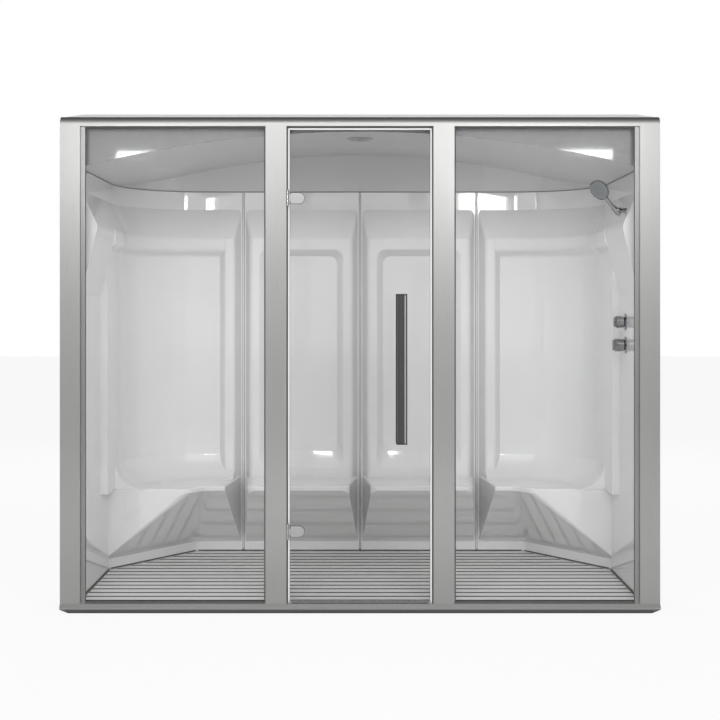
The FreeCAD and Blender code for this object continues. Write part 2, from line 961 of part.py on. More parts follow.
def ceiling_shell():
    wall = s.shell_thick
    room = vault_form(zero, fascia_rear - over, wall_top - over)
    skin = cut(vault_form(wall, fascia_rear, ceiling_foot), room)
    rim = plan_ring(s.flange_reach, fascia_rear, ceiling_foot, ceiling_foot + wall)
    can = s.light_can_radius + s.running_clearance
    hole = rod("z", can, over * 2, zero, at(s.light_depth), vault_crown - over)
    return cut(fuse(skin, rim), hole)


def ceiling_fascia():
    """Front panel over the glass, with an arched lower edge and a bevelled lip on top."""
    x = half_room - s.fascia_end_gap
    fascia_top = s.post_top + s.fascia_lift
    lip = fascia_top + s.roof_lip_height
    radius = (wall_x * wall_x + s.fascia_rise * s.fascia_rise) / (s.fascia_rise * 2)
    outline = [
        (-x, ceiling_foot),
        (-wall_x, ceiling_foot, radius, -1),
        (wall_x, ceiling_foot),
        (x, ceiling_foot),
        (x, fascia_top),
        (x - s.roof_lip_bevel, lip),
        (s.roof_lip_bevel - x, lip),
        (-x, fascia_top),
    ]
    return pad("XZ", outline, at(frame_rear), at(fascia_rear))


keep(plan_ring(s.flange_reach, frame_rear, wall_top, ceiling_foot), "ceiling_gasket")
keep(ceiling_shell(), "ceiling_shell")
keep(ceiling_fascia(), "ceiling_fascia")


# Spring clips that hold the flanges together from outside
clip_rear = (at(s.room_depth - s.clip_grip), at(s.room_depth + s.clip_wall))
clip_slot = (clip_rear[0] - over, at(s.room_depth))
clip_half = s.clip_length / 2


def seam_clip(x, z):
    inner = s.shell_thick + seam
    outer = inner + s.clip_wall
    body = box((x - outer, x + outer), clip_rear, (z - clip_half, z + clip_half))
    return cut(body, box((x - inner, x + inner), clip_slot, (z - clip_half - over, z + clip_half + over)))


def ceiling_clip(x):
    slot_z = (wall_top - s.shell_thick, ceiling_foot + s.shell_thick)
    clip_z = (slot_z[0] - s.clip_wall, slot_z[1] + s.clip_wall)
    body = box((x - clip_half, x + clip_half), clip_rear, clip_z)
    return cut(body, box((x - clip_half - over, x + clip_half + over), clip_slot, slot_z))


clip_shares = [(index + 1) / (clips_per_seam + 1) for index in range(clips_per_seam)]
seam_clips = [
    seam_clip(x, module_z[0] + (module_z[1] - module_z[0]) * share)
    for x in (-module_width, zero, module_width)
    for share in clip_shares
]
roof_clip_shares = (-1.15, -0.5, 0.5, 1.15)
roof_clips = [ceiling_clip(module_width * share) for share in roof_clip_shares]
keep(group(seam_clips + roof_clips), "flange_clips")


# Light in the crown of the vault
def ceiling_light():
    top = vault_crown - s.light_crown_gap
    low = top - s.light_bezel_height
    lens = s.light_lens_radius
    bezel = turned([
        (lens, top),
        (lens, low),
        (s.light_radius - s.light_bezel_height, low),
        (s.light_radius, low + s.light_bezel_height / 2),
        (s.light_radius, top),
    ])
    clear = lens - s.running_clearance
    dome = (clear * clear + s.light_dome * s.light_dome) / (s.light_dome * 2)
    glass = turned([(zero, top), (zero, low - s.light_dome, dome, 1), (clear, low), (clear, top)])
    can = rod("z", s.light_can_radius, s.light_can_height, zero, zero, top)
    for piece in (bezel, glass):
        set_on(piece, zero, at(s.light_depth), zero)
    place(can, zero, at(s.light_depth), top)
    return bezel, glass, can


for piece, label in zip(ceiling_light(), ("light_bezel", "light_lens", "light_housing")):
    keep(piece, label)


# Floor: tray, drain and slatted grates
bench_foot_depth = bench_end + s.corner_toe * (wall_depth - bench_end) / (
    wall_x + s.corner_toe - corner_foot_half
)
pan_floor = s.tray_height - s.pan_depth
slat_foot = s.floor_top - s.slat_height


def floor_plan(inset):
    """The floor between the skirtings: the rear corners are cut off under the benches."""
    x = wall_x - inset
    foot = corner_foot_half - inset
    return [
        (-x, at(frame_rear + inset)),
        (x, at(frame_rear + inset)),
        (x, at(bench_foot_depth - inset)),
        (foot, at(wall_depth - inset)),
        (-foot, at(wall_depth - inset)),
        (-x, at(bench_foot_depth - inset)),
    ]


def floor_tray():
    x = wall_x + s.flange_reach
    slab = box((-x, x), (at(frame_rear), at(s.room_depth)), (zero, s.tray_height))
    pan = pad("XY", floor_plan(s.pan_inset), pan_floor, s.tray_height + over)
    hole = rod("z", s.drain_radius, s.tray_height + over * 2, zero, at(s.drain_depth), -over)
    return cut(slab, pan, hole)


drain_slot_shares = ((-0.6, 0.55), (-0.3, 0.75), (0, 0.8), (0.3, 0.75), (0.6, 0.55))


def drain():
    flange_top = pan_floor + s.drain_flange_thick
    body = turned([
        (s.drain_bore, zero),
        (s.drain_radius - s.running_clearance, zero),
        (s.drain_radius - s.running_clearance, pan_floor),
        (s.drain_flange, pan_floor),
        (s.drain_flange, flange_top),
        (s.drain_bore, flange_top),
    ])
    set_on(body, zero, at(s.drain_depth), zero)
    plate = rod("z", s.drain_grid_radius, s.drain_grid_thick, zero, at(s.drain_depth), flange_top)
    slots = []
    for side_share, reach_share in drain_slot_shares:
        x = s.drain_grid_radius * side_share
        reach = s.drain_grid_radius * reach_share
        slots.append(box(
            (x - s.drain_slot_width / 2, x + s.drain_slot_width / 2),
            (at(s.drain_depth - reach), at(s.drain_depth + reach)),
            (flange_top - over, flange_top + s.drain_grid_thick + over),
        ))
    return body, cut(plate, *slots)


keep(floor_tray(), "floor_tray")
for piece, label in zip(drain(), ("drain_body", "drain_grid")):
    keep(piece, label)

floor_inset = s.pan_inset + s.grate_clearance
slat_start = frame_rear + floor_inset
slat_pitch = (wall_depth - floor_inset - slat_start + s.slat_gap) / slat_count
split = s.grate_split - s.grate_clearance / 2
outer_bay = (-wall_x, -split - s.grate_clearance)


def slats(x):
    rows = []
    for index in range(slat_count):
        start = slat_start + slat_pitch * index
        rows.append(box(x, (at(start), at(start + slat_pitch - s.slat_gap)), (slat_foot, s.floor_top)))
    return common(group(rows), pad("XY", floor_plan(floor_inset), slat_foot - over, s.floor_top + over))


def bearers(places):
    half = s.bearer_width / 2
    depth = (at(slat_start), at(wall_depth - floor_inset))
    bars = [box((x - half, x + half), depth, (pan_floor, slat_foot)) for x in places]
    return common(group(bars), pad("XY", floor_plan(floor_inset), pan_floor - over, slat_foot + over))


left_grate = keep(slats(outer_bay), "left_floor_grate")
keep(slats((-split, split)), "centre_floor_grate")
keep(mirror(left_grate), "right_floor_grate")
bay_middle = (outer_bay[0] + outer_bay[1]) / 2
side_bars = [outer_bay[0] + s.bearer_inset, bay_middle, outer_bay[1] - s.bearer_inset]
centre_bar = split - s.bearer_inset
left_bearers = bearers(side_bars)
centre_bearers = bearers([-centre_bar, -centre_bar / 3, centre_bar / 3, centre_bar])
keep(group([left_bearers, centre_bearers, mirror(left_bearers)]), "grate_bearers")


# Door: a frameless pane on two hinges, with seals on the frame behind it
door_y = (at(s.door_glass_depth), at(s.door_glass_depth + s.glass_thick))
door_x = (s.door_gap - door_half, door_half - s.door_gap)
door_z = (s.sill_height + s.door_foot_gap, s.post_top - s.door_foot_gap)
grip_x = s.handle_left + s.handle_width / 2
grip_heights = (s.handle_foot + s.standoff_inset, s.handle_top - s.standoff_inset)


def door_glass():
    pane = box(door_x, door_y, door_z)
    hole = s.standoff_neck + s.running_clearance
    holes = [rod("y", hole, s.glass_thick + over * 2, grip_x, door_y[0] - over, z) for z in grip_heights]
    return cut(pane, *holes)


def door_sweep():
    """A clear strip clipped on the lower edge of the pane."""
    x = (door_x[0] + s.sweep_end_gap, door_x[1] - s.sweep_end_gap)
    foot = s.sill_height + s.sweep_floor_gap
    strip = box(x, (door_y[0] - s.sweep_wall, door_y[1] + s.sweep_wall), (foot, foot + s.sweep_height))
    return cut(strip, box((x[0] - over, x[1] + over), door_y, (door_z[0], door_z[0] + over)))


def jamb_seals():
    y = (door_y[1] + s.running_clearance, door_y[1] + s.running_clearance + s.seal_depth)
    lintel = s.post_top - s.seal_width
    jamb = box((-door_half, s.seal_width - door_half), y, (s.sill_height, lintel))
    head = box((-door_half, door_half), y, (lintel, s.post_top))
    return jamb, head


def handle_bar(face, outward):
    """A pull bar with a bevel and a groove; outward is -1 to the front, 1 to the inside."""
    near = face + s.handle_standoff * outward
    far = near + s.handle_thick * outward
    bevel_edge = far - s.handle_bevel_depth * outward
    groove_floor = far - s.handle_groove_depth * outward
    right = s.handle_left + s.handle_width
    groove = (right - s.handle_strip - s.handle_groove, right - s.handle_strip)
    section = [
        (s.handle_left, near),
        (s.handle_left, bevel_edge),
        (s.handle_left + s.handle_bevel, far),
        (groove[0], far),
        (groove[0], groove_floor),
        (groove[1], groove_floor),
        (groove[1], far),
        (right, far),
        (right, near),
    ]
    return pad("XY", section, s.handle_foot, s.handle_top)


def standoff(z):
    """A spool that clamps the pane between two bosses."""
    boss = s.standoff_radius
    outer = rod("y", boss, s.handle_standoff, grip_x, door_y[0] - s.handle_standoff, z)
    neck = rod("y", s.standoff_neck, s.glass_thick, grip_x, door_y[0], z)
    inner = rod("y", boss, s.handle_standoff, grip_x, door_y[1], z)
    return fuse(outer, neck, inner)


keep(door_glass(), "door_glass")
keep(door_sweep(), "door_sweep")
jamb_seal, head_seal = jamb_seals()
keep(jamb_seal, "hinge_jamb_seal")
keep(mirror(jamb_seal), "latch_jamb_seal")
keep(head_seal, "header_seal")
keep(handle_bar(door_y[0], -1), "outer_handle")
keep(handle_bar(door_y[1], 1), "inner_handle")
keep(group([standoff(z) for z in grip_heights]), "handle_standoffs")

pivot_x = s.hinge_axis_gap - door_half
pivot_y = at(-s.hinge_axis_depth)
knuckle_gap = s.running_clearance
pin_bore = s.pin_radius + s.running_clearance


def pin_hole(z):
    foot = z - s.knuckle_height / 2 - over
    return rod("z", pin_bore, s.knuckle_height + over * 2, pivot_x, pivot_y, foot)


def post_leaf(z):
    """Fixed leaf on the inner face of the hinge post, with the outer two knuckles."""
    half = s.knuckle_height / 2
    middle = s.knuckle_middle / 2 + knuckle_gap
    leaf_x = (-door_half, s.leaf_thick - door_half)
    plate = box(leaf_x, (at(zero), at(s.leaf_depth)), (z - half, z + half))
    lugs = []
    for foot in (z - half, z + middle):
        lugs.append(rod("z", s.knuckle_radius, half - middle, pivot_x, pivot_y, foot))
        lugs.append(box((-door_half, pivot_x), (pivot_y, at(zero)), (foot, foot + half - middle)))
    return cut(fuse(plate, *lugs), pin_hole(z))


def plate_outline(left, z):
    """A clamp plate with one round end."""
    half = s.hinge_plate_height / 2
    end = pivot_x + s.hinge_plate_reach - half
    return [
        (left, z - half),
        (end, z - half, half, 1),
        (end + half, z, half, 1),
        (end, z + half),
        (left, z + half),
    ]


def door_leaf(z):
    """Moving leaf: the middle knuckle, a web and the outer clamp plate on the pane."""
    half = s.knuckle_middle / 2
    web_x = (pivot_x, pivot_x + s.hinge_web)
    plate_y = (door_y[0] - s.hinge_plate_thick, door_y[0])
    plate = pad("XZ", plate_outline(web_x[1], z), *plate_y)
    web = box(web_x, (pivot_y, door_y[0]), (z - half, z + half))
    knuckle = rod("z", s.knuckle_radius, s.knuckle_middle, pivot_x, pivot_y, z - half)
    return cut(fuse(plate, web, knuckle), pin_hole(z))


def inner_plate(z):
    left = pivot_x + s.hinge_web
    return pad("XZ", plate_outline(left, z), door_y[1], door_y[1] + s.hinge_plate_thick)


def hinge_pin(z):
    foot = z - s.knuckle_height / 2 - s.pin_end
    length = s.knuckle_height + s.pin_end
    shank = rod("z", s.pin_radius, length, pivot_x, pivot_y, foot + s.pin_end)
    cap = rod("z", s.knuckle_radius, s.pin_end, pivot_x, pivot_y, foot + length)
    return fuse(shank, cap)


hinge_heights = {"upper": s.post_top - s.hinge_inset, "lower": s.sill_height + s.hinge_inset}
for label, z in hinge_heights.items():
    keep(post_leaf(z), f"{label}_hinge_post_leaf")
    keep(door_leaf(z), f"{label}_hinge_door_leaf")
keep(group([inner_plate(z) for z in hinge_heights.values()]), "hinge_inner_plates")
keep(group([hinge_pin(z) for z in hinge_heights.values()]), "hinge_pins")


# Steam inlet on the sloping riser of the right rear module
riser_rise = s.seat_height - s.seat_edge - s.skirting_top
steam_depth = seat_front + (s.seat_height - s.seat_edge - s.steam_height) * s.seat_depth / riser_rise
riser_normal = FreeCAD.Vector(0, -riser_rise.value, -s.seat_depth.value).normalize()
riser_turn = FreeCAD.Rotation(FreeCAD.Vector(0, 0, 1), riser_normal)
steam_place = (s.steam_offset, at(steam_depth), s.steam_height, riser_turn)

nozzle = turned([
    (s.steam_pipe_bore, zero),
    (s.steam_plate_radius, zero),
    (s.steam_plate_radius, s.steam_plate_thick / 2),
    (s.steam_nose_radius, s.steam_plate_thick),
    (s.steam_nose_radius, s.steam_plate_thick + s.steam_nose_length),
    (s.steam_pipe_bore, s.steam_plate_thick + s.steam_nose_length),
])
keep(set_on(nozzle, *steam_place), "steam_nozzle")


def steam_tube(radius, low, high):
    """A round piece along the steam pipe, between two depths."""
    return rod("y", radius, high - low, s.steam_offset, at(low), s.steam_height)


def steam_pipe():
    """Pipe from the back of the nozzle to the rear, with a collar behind the riser."""
    front = steam_depth - s.steam_plate_radius
    rear = s.room_depth - s.steam_pipe_end
    collar = steam_depth + s.steam_collar_setback
    solid = fuse(
        steam_tube(s.steam_pipe_radius, front, rear),
        steam_tube(s.steam_collar_radius, collar, collar + s.steam_collar_length),
    )
    ahead = turned(rectangle((zero, s.steam_plate_radius * 2), (zero, s.steam_plate_radius * 2)))
    return cut(solid, steam_tube(s.steam_pipe_bore, front - over, rear + over), set_on(ahead, *steam_place))


keep(steam_pipe(), "steam_pipe")
pipe_bore = s.steam_pipe_radius + s.running_clearance
pipe_hole = steam_tube(pipe_bore, steam_depth - over * 2, steam_depth + over * 2)
keep(cut(mirror(left_rear), pipe_hole), "rear_right_module")


# Shower fittings on the right side wall
to_room = FreeCAD.Rotation(FreeCAD.Vector(0, 1, 0), -90)
temperature_height = wall_top - s.valve_drop
flow_height = temperature_height + s.valve_spacing
valve_y = at(side_pad_rear - s.valve_setback)
valve_heights = (flow_height, temperature_height)
bracket_height = shoulder_top - s.bracket_drop
wall_rear = wall_x + s.shell_thick
mixer_x = wall_rear + s.mixer_reach / 2
arm_y = at(s.side_pad_front + s.bracket_setback)
arm_tip = wall_x - s.bracket_reach


def stem_hole(z):
    bore = s.stem_radius + s.running_clearance
    return rod("x", bore, s.shell_thick + over * 2, wall_x - over, valve_y, z)


def arm_hole():
    reach = s.bracket_reach + s.mixer_reach
    return rod("x", s.arm_radius + s.running_clearance, reach, arm_tip, arm_y, bracket_height)


right_corner = cut(mirror(left_corner), stem_hole(flow_height), stem_hole(temperature_height), arm_hole())
keep(right_corner, "right_corner_module")


def mixer():
    """Two valve bodies behind the wall, joined, with stems to the room and two water inlets."""
    pieces = []
    for z in valve_heights:
        pieces.append(rod("x", s.mixer_radius, s.mixer_reach, wall_rear, valve_y, z))
        stem = s.stem_length + s.shell_thick
        pieces.append(rod("x", s.stem_radius, stem, wall_x - s.stem_length, valve_y, z))
    link = flow_height - temperature_height
    pieces.append(rod("z", s.riser_radius, link, mixer_x, valve_y, temperature_height))
    spread = s.mixer_radius * 2
    pieces.append(rod("y", s.riser_radius, spread * 2, mixer_x, valve_y - spread, temperature_height))
    collar = s.inlet_collar_length
    for side in (-1, 1):
        y = valve_y + spread * side
        pieces.append(rod("x", s.inlet_collar, collar, mixer_x, y, temperature_height))
        pieces.append(rod("x", s.inlet_radius, s.inlet_length, mixer_x + collar, y, temperature_height))
    return fuse(*pieces)


def rosette(z):
    thick = s.rosette_thick
    plate = turned([
        (s.stem_radius + s.running_clearance, zero),
        (s.rosette_radius, zero),
        (s.rosette_radius, thick / 3),
        (s.rosette_radius - thick, thick),
        (s.stem_radius + s.running_clearance, thick),
    ])
    return set_on(plate, wall_x, valve_y, z, to_room)


def knob(z, radius, length):
    """A turned knob with a blind bore for the stem and a raised pointer bar."""
    edge = s.knob_round
    bore = s.stem_radius + s.running_clearance
    socket = s.stem_length - s.rosette_thick
    form = turned([
        (bore, zero),
        (radius - edge, zero),
        (radius, edge),
        (radius, length - edge),
        (radius - edge, length),
        (zero, length),
        (zero, socket),
        (bore, socket),
    ])
    face = wall_x - s.rosette_thick - s.running_clearance
    set_on(form, face, valve_y, z, to_room)
    wing = s.knob_wing
    bar_y = (valve_y - wing, valve_y + wing)
    bar = box((face - length - wing, face - length), bar_y, (z - radius + edge, z + radius - edge))
    return fuse(form, bar)


keep(mixer(), "mixer_body")
keep(rosette(flow_height), "flow_rosette")
keep(rosette(temperature_height), "temperature_rosette")
keep(knob(flow_height, s.flow_knob_radius, s.flow_knob_length), "flow_knob")
keep(knob(temperature_height, s.temperature_knob_radius, s.temperature_knob_length), "temperature_knob")


# Shower: an arm through the wall, a tilting holder and a hand shower
lean = math.radians(shower_lean_angle)
tilt = math.radians(shower_face_angle)
grip_axis = FreeCAD.Vector(-math.cos(lean), 0, math.sin(lean))
under = FreeCAD.Vector(-math.sin(lean), 0, -math.cos(lean))
spray_axis = under * math.cos(tilt) + FreeCAD.Vector(0, -math.sin(tilt), 0)
grip_turn = FreeCAD.Rotation(FreeCAD.Vector(0, 0, 1), grip_axis)
spray_turn = FreeCAD.Rotation(FreeCAD.Vector(0, 0, 1), spray_axis)
socket_x = arm_tip - s.swivel_length
socket_place = (socket_x, arm_y, bracket_height, grip_turn)


def along_grip(distance):
    """A place on the axis of the hand shower, away from its socket."""
    return socket_x + distance * grip_axis.x, arm_y, bracket_height + distance * grip_axis.z


def shower_arm():
    tip = s.spigot_length
    rear = wall_rear + s.mixer_reach
    spigot = rod("x", s.arm_radius / 2, tip, arm_tip - tip, arm_y, bracket_height)
    return fuse(rod("x", s.arm_radius, rear - arm_tip, arm_tip, arm_y, bracket_height), spigot)


def shower_holder():
    """A swivel on the spigot of the arm and a short inclined socket."""
    gap = s.running_clearance
    length = s.socket_length / 2
    swivel = rod("x", s.swivel_radius, s.swivel_length - gap, socket_x, arm_y, bracket_height)
    socket = set_on(turned(rectangle((zero, s.swivel_radius), (-length, length))), *socket_place)
    hole = rectangle((zero, s.shower_handle_radius + gap), (-length - over, length + over))
    bore = set_on(turned(hole), *socket_place)
    depth = s.spigot_length + gap
    spigot_bore = rod("x", s.arm_radius / 2 + gap, depth, arm_tip - depth, arm_y, bracket_height)
    return cut(fuse(swivel, socket), bore, spigot_bore)


def hand_shower():
    """A slender handle and a round head, with a separate spray plate set in its face."""
    foot = -s.shower_handle_foot
    top = s.shower_handle_length
    handle = set_on(turned(rectangle((zero, s.shower_handle_radius), (foot, top))), *socket_place)
    radius = s.shower_head_radius
    thick = s.shower_head_thick
    lip = s.spray_plate_thick / 3
    seat = s.spray_plate_radius + s.running_clearance
    head = turned([
        (zero, -thick),
        (radius / 2, -thick),
        (radius, -thick / 2),
        (radius, zero),
        (seat, zero),
        (seat, -lip),
        (zero, -lip),
    ])
    set_on(head, *along_grip(top), spray_turn)
    plate = turned([
        (zero, -lip),
        (s.spray_plate_radius, -lip),
        (s.spray_plate_radius, zero),
        (s.spray_plate_radius - lip, s.spray_plate_thick - lip),
        (zero, s.spray_plate_thick - lip),
    ])
    set_on(plate, *along_grip(top), spray_turn)
    room = turned(rectangle((zero, seat), (-lip, radius)))
    set_on(room, *along_grip(top), spray_turn)
    return cut(fuse(handle, head), room), plate


keep(shower_arm(), "shower_arm")
keep(shower_holder(), "shower_holder")
for piece, label in zip(hand_shower(), ("hand_shower", "spray_plate")):
    keep(piece, label)


def riser_pipe():
    """Water pipe behind the wall, from the mixer up to the shower arm."""
    x, y = mixer_x.value, valve_y.value
    low = flow_height.value + s.mixer_radius.value
    high = bracket_height.value
    bend = s.riser_bend.value
    end = arm_y.value + s.arm_radius.value + s.running_clearance.value
    corner = FreeCAD.Vector(x, y - bend * (1 - math.sqrt(0.5)), high - bend * (1 - math.sqrt(0.5)))
    points = [(x, y, low), (x, y, high - bend), (x, y - bend, high), (x, end, high)]
    start, turn_in, turn_out, finish = [FreeCAD.Vector(*point) for point in points]
    path = Part.Wire([
        Part.LineSegment(start, turn_in).toShape(),
        Part.Arc(turn_in, corner, turn_out).toShape(),
        Part.LineSegment(turn_out, finish).toShape(),
    ])
    ring = Part.Wire([Part.Circle(start, FreeCAD.Vector(0, 0, 1), s.riser_radius.value).toShape()])
    pipe = doc.addObject("Part::Feature", "pipe")
    pipe.Shape = path.makePipeShell([ring], True, False)
    return pipe


keep(riser_pipe(), "shower_riser")

# Check every object, then write each piece to its own file
doc.recompute()
failed = [thing.Label for thing in doc.Objects if {"Invalid", "Error"} & set(thing.State)]
failed += [thing.Label for thing in nodes if thing.Shape.isNull() or not thing.Shape.isValid()]
if failed:
    raise RuntimeError(f"these objects failed: {failed}")
os.makedirs("parts", exist_ok=True)
for thing in nodes:
    thing.Shape.exportStep(f"parts/{thing.Label}.step")
print(len(nodes), "pieces written")
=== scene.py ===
import json
import math

import bpy
from mathutils import Matrix, Vector


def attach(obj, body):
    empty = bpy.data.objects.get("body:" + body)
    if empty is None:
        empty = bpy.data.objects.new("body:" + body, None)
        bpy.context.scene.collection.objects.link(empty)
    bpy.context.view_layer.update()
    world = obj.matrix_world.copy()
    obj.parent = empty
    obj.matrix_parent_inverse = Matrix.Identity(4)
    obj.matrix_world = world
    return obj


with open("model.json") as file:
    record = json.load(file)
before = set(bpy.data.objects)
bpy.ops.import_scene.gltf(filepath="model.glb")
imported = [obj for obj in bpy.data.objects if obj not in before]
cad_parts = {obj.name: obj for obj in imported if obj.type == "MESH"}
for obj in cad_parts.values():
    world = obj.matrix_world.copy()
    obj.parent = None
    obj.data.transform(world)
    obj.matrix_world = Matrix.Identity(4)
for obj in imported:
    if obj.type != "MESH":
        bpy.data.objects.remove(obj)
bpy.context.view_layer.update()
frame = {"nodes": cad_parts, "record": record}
nodes = frame["nodes"]
scene = bpy.context.scene
scene.view_settings.view_transform = "Standard"
print("frame loaded:", len(nodes), "nodes")


# camera at the photograph's viewing angle
photoView = {"lens": 62.78, "sensor": 36, "place": (0, -6.12, 1.334), "drop": -0.0694}
cameraData = bpy.data.cameras.new("photoCamera")
cameraData.lens = photoView["lens"]
cameraData.sensor_width = photoView["sensor"]
cameraData.shift_y = photoView["drop"]
camera = bpy.data.objects.new("photoCamera", cameraData)
camera.location = photoView["place"]
camera.rotation_euler = (math.radians(90), 0, 0)
scene.collection.objects.link(camera)
scene.camera = camera


# shader sockets that take part in sums, differences, products and quotients
class Socket:
    def __init__(self, finish, link):
        self.finish = finish
        self.link = link

    def maths(self, operation, first, second):
        return self.finish.add("Math", {"operation": operation}, {0: first, 1: second})

    def __add__(self, other):
        return self.maths("ADD", self, other)

    __radd__ = __add__

    def __sub__(self, other):
        return self.maths("SUBTRACT", self, other)

    def __rsub__(self, other):
        return self.maths("SUBTRACT", other, self)

    def __mul__(self, other):
        return self.maths("MULTIPLY", self, other)

    __rmul__ = __mul__

    def __truediv__(self, other):
        return self.maths("DIVIDE", self, other)

    def __rtruediv__(self, other):
        return self.maths("DIVIDE", other, self)


even = (1, 1, 1)


class Finish:
    def __init__(self, holder):
        self.holder = holder
        holder.use_nodes = True
        self.tree = holder.node_tree
        self.tree.nodes.clear()

    def add(self, kind, settings=None, inputs=None, output=0):
        node = self.tree.nodes.new("ShaderNode" + kind)
        for name, value in (settings or {}).items():
            if name != "stops":
                setattr(node, name, value)
                continue
            ramp = node.color_ramp
            while len(ramp.elements) < len(value):
                ramp.elements.new(1)
            for element, (position, level) in zip(ramp.elements, value):
                element.position = position
                element.color = (level, level, level, 1)
        for name, value in (inputs or {}).items():
            if isinstance(value, Socket):
                self.tree.links.new(value.link, node.inputs[name])
            else:
                node.inputs[name].default_value = value
        return Socket(self, node.outputs[output]) if node.outputs else None

    def place(self, stretch):
        return self.add("Mapping", None, {0: self.add("TexCoord", None, None, "Object"), "Scale": stretch})

    def noise(self, scale, stretch, detail, roughness=0.5):
        inputs = {"Vector": self.place(stretch), "Scale": scale, "Detail": detail, "Roughness": roughness}
        return self.add("TexNoise", None, inputs)

    def axis(self, name, source="Object"):
        return self.add("SeparateXYZ", None, {0: self.add("TexCoord", None, None, source)}, name)

    def rise(self, value, low, high):
        return self.add("MapRange", None, {"Value": value, "From Min": low, "From Max": high})

    def band(self, value, low, high, soft):
        return self.rise(value, low - soft, low + soft) - self.rise(value, high - soft, high + soft)

    def ray(self, name):
        return self.add("LightPath", None, None, f"Is {name} Ray")

    def shade(self, factor, dark, light):
        inputs = {0: factor}
        for index, colour in ((6, dark), (7, light)):
            inputs[index] = colour if isinstance(colour, Socket) else (*colour, 1)
        return self.add("Mix", {"data_type": "RGBA"}, inputs, 2)

    def bump(self, height, strength, distance):
        return self.add("Bump", None, {"Height": height, "Strength": strength, "Distance": distance})

    def surface(self, **inputs):
        named = {key.replace("_", " "): value for key, value in inputs.items()}
        return self.close("Material", self.add("BsdfPrincipled", None, named))

    def mixed(self, factor, first, second):
        return self.close("Material", self.add("MixShader", None, {0: factor, 1: first, 2: second}))

    def close(self, kind, shader):
        self.add("Output" + kind, None, {"Surface": shader})
        return self.holder


def newFinish(name):
    return Finish(bpy.data.materials.new(name))


def tone(level):
    return (level, level, level)


warmth = {"green": 1.004, "blue": 0.985}


def warmGrey(level):
    return (level, level * warmth["green"], level * warmth["blue"])


brushSet = {
    "across": 420, "along": 4, "detail": 4, "mix": 0.6, "cloud": 2.2, "cloudDetail": 2, "share": 0.5,
    "rough": 0.24, "spread": 0.12, "bump": 0.06, "depth": 0.0004,
}


def satinAluminium(name, along, dark, light, foot=None):
    finish = newFinish(name)
    stretch = [brushSet["across"]] * 3
    stretch["XYZ".index(along)] = brushSet["along"]
    brush = finish.noise(1, stretch, brushSet["detail"], brushSet["mix"])
    cloud = finish.noise(brushSet["cloud"], even, brushSet["cloudDetail"])
    share = brushSet["share"]
    colour = finish.shade(brush * share + cloud * share, warmGrey(dark), warmGrey(light))
    # optional painted shade: the colour darkens below the given foot height
    if foot:
        lit = finish.rise(finish.axis("Z"), foot["low"], foot["high"])
        colour = finish.shade(lit, warmGrey(dark * foot["shade"]), colour)
    return finish.surface(
        Base_Color=colour, Metallic=1.0, Roughness=brushSet["rough"] + brush * brushSet["spread"],
        Normal=finish.bump(brush, brushSet["bump"], brushSet["depth"]),
    )


acrylicSet = {
    "wave": 3.5, "haze": 14, "hazeDetail": 3, "waveShare": 0.6, "hazeShare": 0.4, "spread": 0.04,
    "coatRough": 0.02, "bump": 0.12, "depth": 0.003,
}


def glossAcrylic(name, dark, light, rough, coat):
    finish = newFinish(name)
    wave = finish.noise(acrylicSet["wave"], even, 1)
    haze = finish.noise(acrylicSet["haze"], even, acrylicSet["hazeDetail"])
    colour = finish.shade(wave * acrylicSet["waveShare"] + haze * acrylicSet["hazeShare"], dark, light)
    return finish.surface(
        Base_Color=colour, Roughness=rough + haze * acrylicSet["spread"], Coat_Weight=coat,
        Coat_Roughness=acrylicSet["coatRough"],
        Normal=finish.bump(wave, acrylicSet["bump"], acrylicSet["depth"]),
    )


glassSet = {
    "film": 5, "stretch": (1, 1, 0.6), "detail": 2, "green": 1.001, "mirror": (0.95, 0.955, 0.952, 1),
    "rough": 0.015, "index": 1.07, "share": 0.6, "spread": 0.3,
}


def thinGlass(name, tint):
    finish = newFinish(name)
    film = finish.noise(glassSet["film"], glassSet["stretch"], glassSet["detail"])
    clear = finish.add("BsdfTransparent", None, {"Color": (tint, tint * glassSet["green"], tint, 1)})
    gloss = {"Color": glassSet["mirror"], "Roughness": glassSet["rough"]}
    mirror = finish.add("BsdfAnisotropic", None, gloss)
    edge = finish.add("Fresnel", None, {"IOR": glassSet["index"]})
    return finish.mixed(edge * (glassSet["share"] + film * glassSet["spread"]), clear, mirror)


# the slat flanks and the gaps between slats are painted near-black as painted shade
slatSet = {
    "start": -0.551, "pitch": 1.142 / 15, "gap": 0.01, "edge": 0.0045, "soft": 0.002, "rib": 0.0055,
    "grain": (24, 300, 300), "grainDetail": 4, "plank": (0.4, 13, 1), "shares": (0.35, 0.25, 0.4),
    "dark": (0.03, 0.03, 0.03), "low": (0.7, 0.7, 0.6895), "high": (0.9, 0.9, 0.8865),
    "rough": 0.3, "spread": 0.2, "bump": 0.3, "depth": 0.0008,
}


def slatPlastic(name):
    finish = newFinish(name)
    turns = (finish.axis("Y") - slatSet["start"]) / slatSet["pitch"]
    across = finish.add("Math", {"operation": "FRACT"}, {0: turns}) * slatSet["pitch"]
    far = slatSet["pitch"] - slatSet["gap"] - slatSet["edge"]
    # crown is 1 on each slat's top; off it the colour turns to the painted shade of the gaps
    crown = finish.band(across, slatSet["edge"], far, slatSet["soft"])
    ribs = finish.add("Math", {"operation": "PINGPONG"}, {0: across, 1: slatSet["rib"]}) / slatSet["rib"]
    grain = finish.noise(1, slatSet["grain"], slatSet["grainDetail"])
    plank = finish.noise(1, slatSet["plank"], 1)
    grainShare, ribShare, plankShare = slatSet["shares"]
    mix = grain * grainShare + ribs * ribShare + plank * plankShare
    light = finish.shade(mix, slatSet["low"], slatSet["high"])
    return finish.surface(
        Base_Color=finish.shade(crown, slatSet["dark"], light),
        Roughness=slatSet["rough"] + grain * slatSet["spread"],
        Normal=finish.bump(ribs, slatSet["bump"], slatSet["depth"]),
    )
